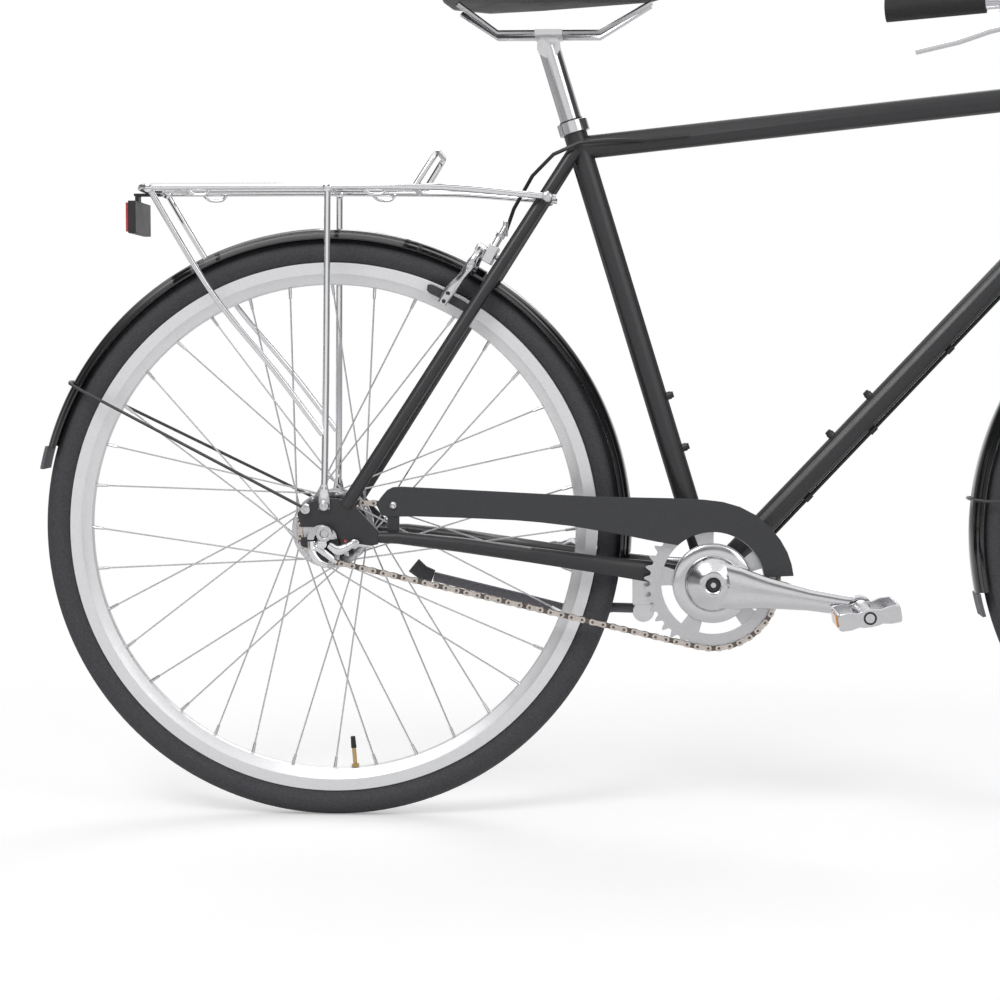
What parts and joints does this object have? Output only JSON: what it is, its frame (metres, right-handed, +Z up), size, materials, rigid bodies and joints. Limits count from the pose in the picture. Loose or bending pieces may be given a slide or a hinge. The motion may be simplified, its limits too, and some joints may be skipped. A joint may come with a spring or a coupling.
{
  "type": "city bicycle",
  "caption": "Diamond-frame city bicycle with mudguards, chrome rear rack, chainguard, gear hub, rim brakes and kickstand.",
  "frame": {"origin": "ground level under the middle of the bicycle's box", "axes": "+X forward, +Y to the rider's left, +Z up; the drive side faces -Y"},
  "size_m": [1.8078, 0.6128, 1.0228],
  "materials": {
    "black_paint": "satin",
    "chain_steel": "oiled",
    "chrome": "bright",
    "gloss_black": "gloss",
    "grey_plastic": "matte",
    "red_lens": "gloss",
    "rim_silver": "satin",
    "rubber": "matte",
    "saddle_black": "satin",
    "silver": "polished"
  },
  "bodies": {
    "frame": {"frame": "black_paint", "headset_lower_cup": "silver", "headset_upper_cup": "silver", "bottom_bracket_cup_right": "silver", "bottom_bracket_cup_left": "silver", "seat_clamp": "silver", "rear_axle": "silver", "shift_unit": "chrome", "axle_nut_right": "silver", "axle_nut_left": "silver", "chain": "chain_steel", "chainguard": "black_paint", "rear_fender": "gloss_black", "rear_fender_flap": "grey_plastic", "rear_fender_stays": "black_paint", "rack": "chrome", "reflector_housing": "gloss_black", "reflector_lens": "red_lens", "rear_brake_body": "silver", "rear_brake_cable": "gloss_black", "shift_cable": "gloss_black", "kickstand_bracket": "silver"},
    "rear_wheel": {"rear_tyre": "rubber", "rear_rim": "rim_silver", "rear_hub_shell": "silver", "rear_spokes_right": "silver", "rear_spokes_left": "silver"},
    "sprocket": {"rear_sprocket": "silver"},
    "crankset": {"chainring": "silver", "crank_spindle": "silver", "crank_right": "silver", "crank_left": "silver"},
    "pedal_right": {"pedal_right": "silver"},
    "pedal_left": {"pedal_left": "silver"},
    "rear_arm_right": {"rear_brake_arm_right": "silver"},
    "rear_arm_left": {"rear_brake_arm_left": "silver"},
    "kickstand": {"kickstand_leg": "grey_plastic", "kickstand_foot": "rubber"},
    "saddle": {"saddle": "saddle_black", "seatpost": "silver"},
    "steering": {"fork": "black_paint", "front_axle": "silver", "front_fender": "gloss_black", "front_fender_flap": "grey_plastic", "front_fender_stays": "black_paint", "front_brake_body": "silver", "stem": "silver", "handlebar": "silver", "grip_right": "rubber", "grip_left": "rubber"},
    "front_wheel": {"front_tyre": "rubber", "front_rim": "rim_silver", "front_hub_shell": "silver", "front_spokes_right": "silver", "front_spokes_left": "silver"},
    "front_arm_right": {"front_brake_arm_right": "silver"},
    "front_arm_left": {"front_brake_arm_left": "silver"},
    "lever_right": {"brake_lever_right": "silver"},
    "lever_left": {"brake_lever_left": "silver"},
    "shifter": {"shifter_ring": "gloss_black"}
  },
  "joints": [
    {"name": "crank_spin", "type": "hinge", "parent": "frame", "child": "crankset", "pos_m": [-0.10305, 0, 0.286], "axis": [0, 1, 0], "continuous": true, "deforming": ["chain"]},
    {"name": "sprocket_spin", "type": "hinge", "parent": "frame", "child": "sprocket", "pos_m": [-0.55405, 0, 0.346], "axis": [0, 1, 0], "continuous": true},
    {"name": "rear_wheel_spin", "type": "hinge", "parent": "frame", "child": "rear_wheel", "pos_m": [-0.55405, 0, 0.346], "axis": [0, 1, 0], "continuous": true},
    {"name": "front_wheel_spin", "type": "hinge", "parent": "steering", "child": "front_wheel", "pos_m": [0.55795, 0, 0.346], "axis": [0, 1, 0], "continuous": true},
    {"name": "steering_turn", "type": "hinge", "parent": "frame", "child": "steering", "pos_m": [0.33563, 0, 0.796], "axis": [-0.342, 0, 0.9397], "range_deg": [-60, 60]},
    {"name": "pedal_right_spin", "type": "hinge", "parent": "crankset", "child": "pedal_right", "pos_m": [0.06517, -0.13, 0.26146], "axis": [0, 1, 0], "continuous": true},
    {"name": "pedal_left_spin", "type": "hinge", "parent": "crankset", "child": "pedal_left", "pos_m": [-0.27127, 0.13, 0.31054], "axis": [0, 1, 0], "continuous": true},
    {"name": "kickstand_swing", "type": "hinge", "parent": "frame", "child": "kickstand", "pos_m": [-0.18305, 0.025, 0.248], "axis": [0, -1, 0], "range_deg": [0, 100]},
    {"name": "rear_brake_right", "type": "hinge", "parent": "frame", "child": "rear_arm_right", "pos_m": [-0.37677, -0.017, 0.67531], "axis": [0.8805, 0, -0.474], "range_deg": [0, 1.7]},
    {"name": "rear_brake_left", "type": "hinge", "parent": "frame", "child": "rear_arm_left", "pos_m": [-0.37677, 0.017, 0.67531], "axis": [-0.8805, 0, 0.474], "range_deg": [0, 1.7]},
    {"name": "front_brake_right", "type": "hinge", "parent": "steering", "child": "front_arm_right", "pos_m": [0.41496, -0.017, 0.69159], "axis": [0.924, 0, 0.3823], "range_deg": [0, 1.7]},
    {"name": "front_brake_left", "type": "hinge", "parent": "steering", "child": "front_arm_left", "pos_m": [0.41496, 0.017, 0.69159], "axis": [-0.924, 0, -0.3823], "range_deg": [0, 1.7]},
    {"name": "lever_right_pull", "type": "hinge", "parent": "steering", "child": "lever_right", "pos_m": [0.27875, -0.24925, 0.9699], "axis": [-0.2707, 0.9627, 0], "range_deg": [0, 15], "stiffness_Nm_per_rad": 0.5},
    {"name": "shifter_twist", "type": "hinge", "parent": "steering", "child": "shifter", "pos_m": [0.26173, -0.25403, 1.00439], "axis": [0.9615, 0.2704, 0.0481], "range_deg": [0, 120]},
    {"name": "lever_left_pull", "type": "hinge", "parent": "steering", "child": "lever_left", "pos_m": [0.27875, 0.24925, 0.9699], "axis": [0.2707, 0.9627, 0], "range_deg": [0, 15], "stiffness_Nm_per_rad": 0.5},
    {"name": "saddle_height", "type": "slide", "parent": "frame", "child": "saddle", "axis": [-0.2949, 0, 0.9555], "range_m": [-0.025, 0.06]}
  ],
  "couplings": [
    {"joint": "sprocket_spin", "follows": "crank_spin", "ratio": 2.2353},
    {"joint": "rear_brake_right", "follows": "lever_right_pull", "ratio": 0.11},
    {"joint": "rear_brake_left", "follows": "lever_right_pull", "ratio": 0.11},
    {"joint": "front_brake_right", "follows": "lever_left_pull", "ratio": 0.11},
    {"joint": "front_brake_left", "follows": "lever_left_pull", "ratio": 0.11}
  ]
}
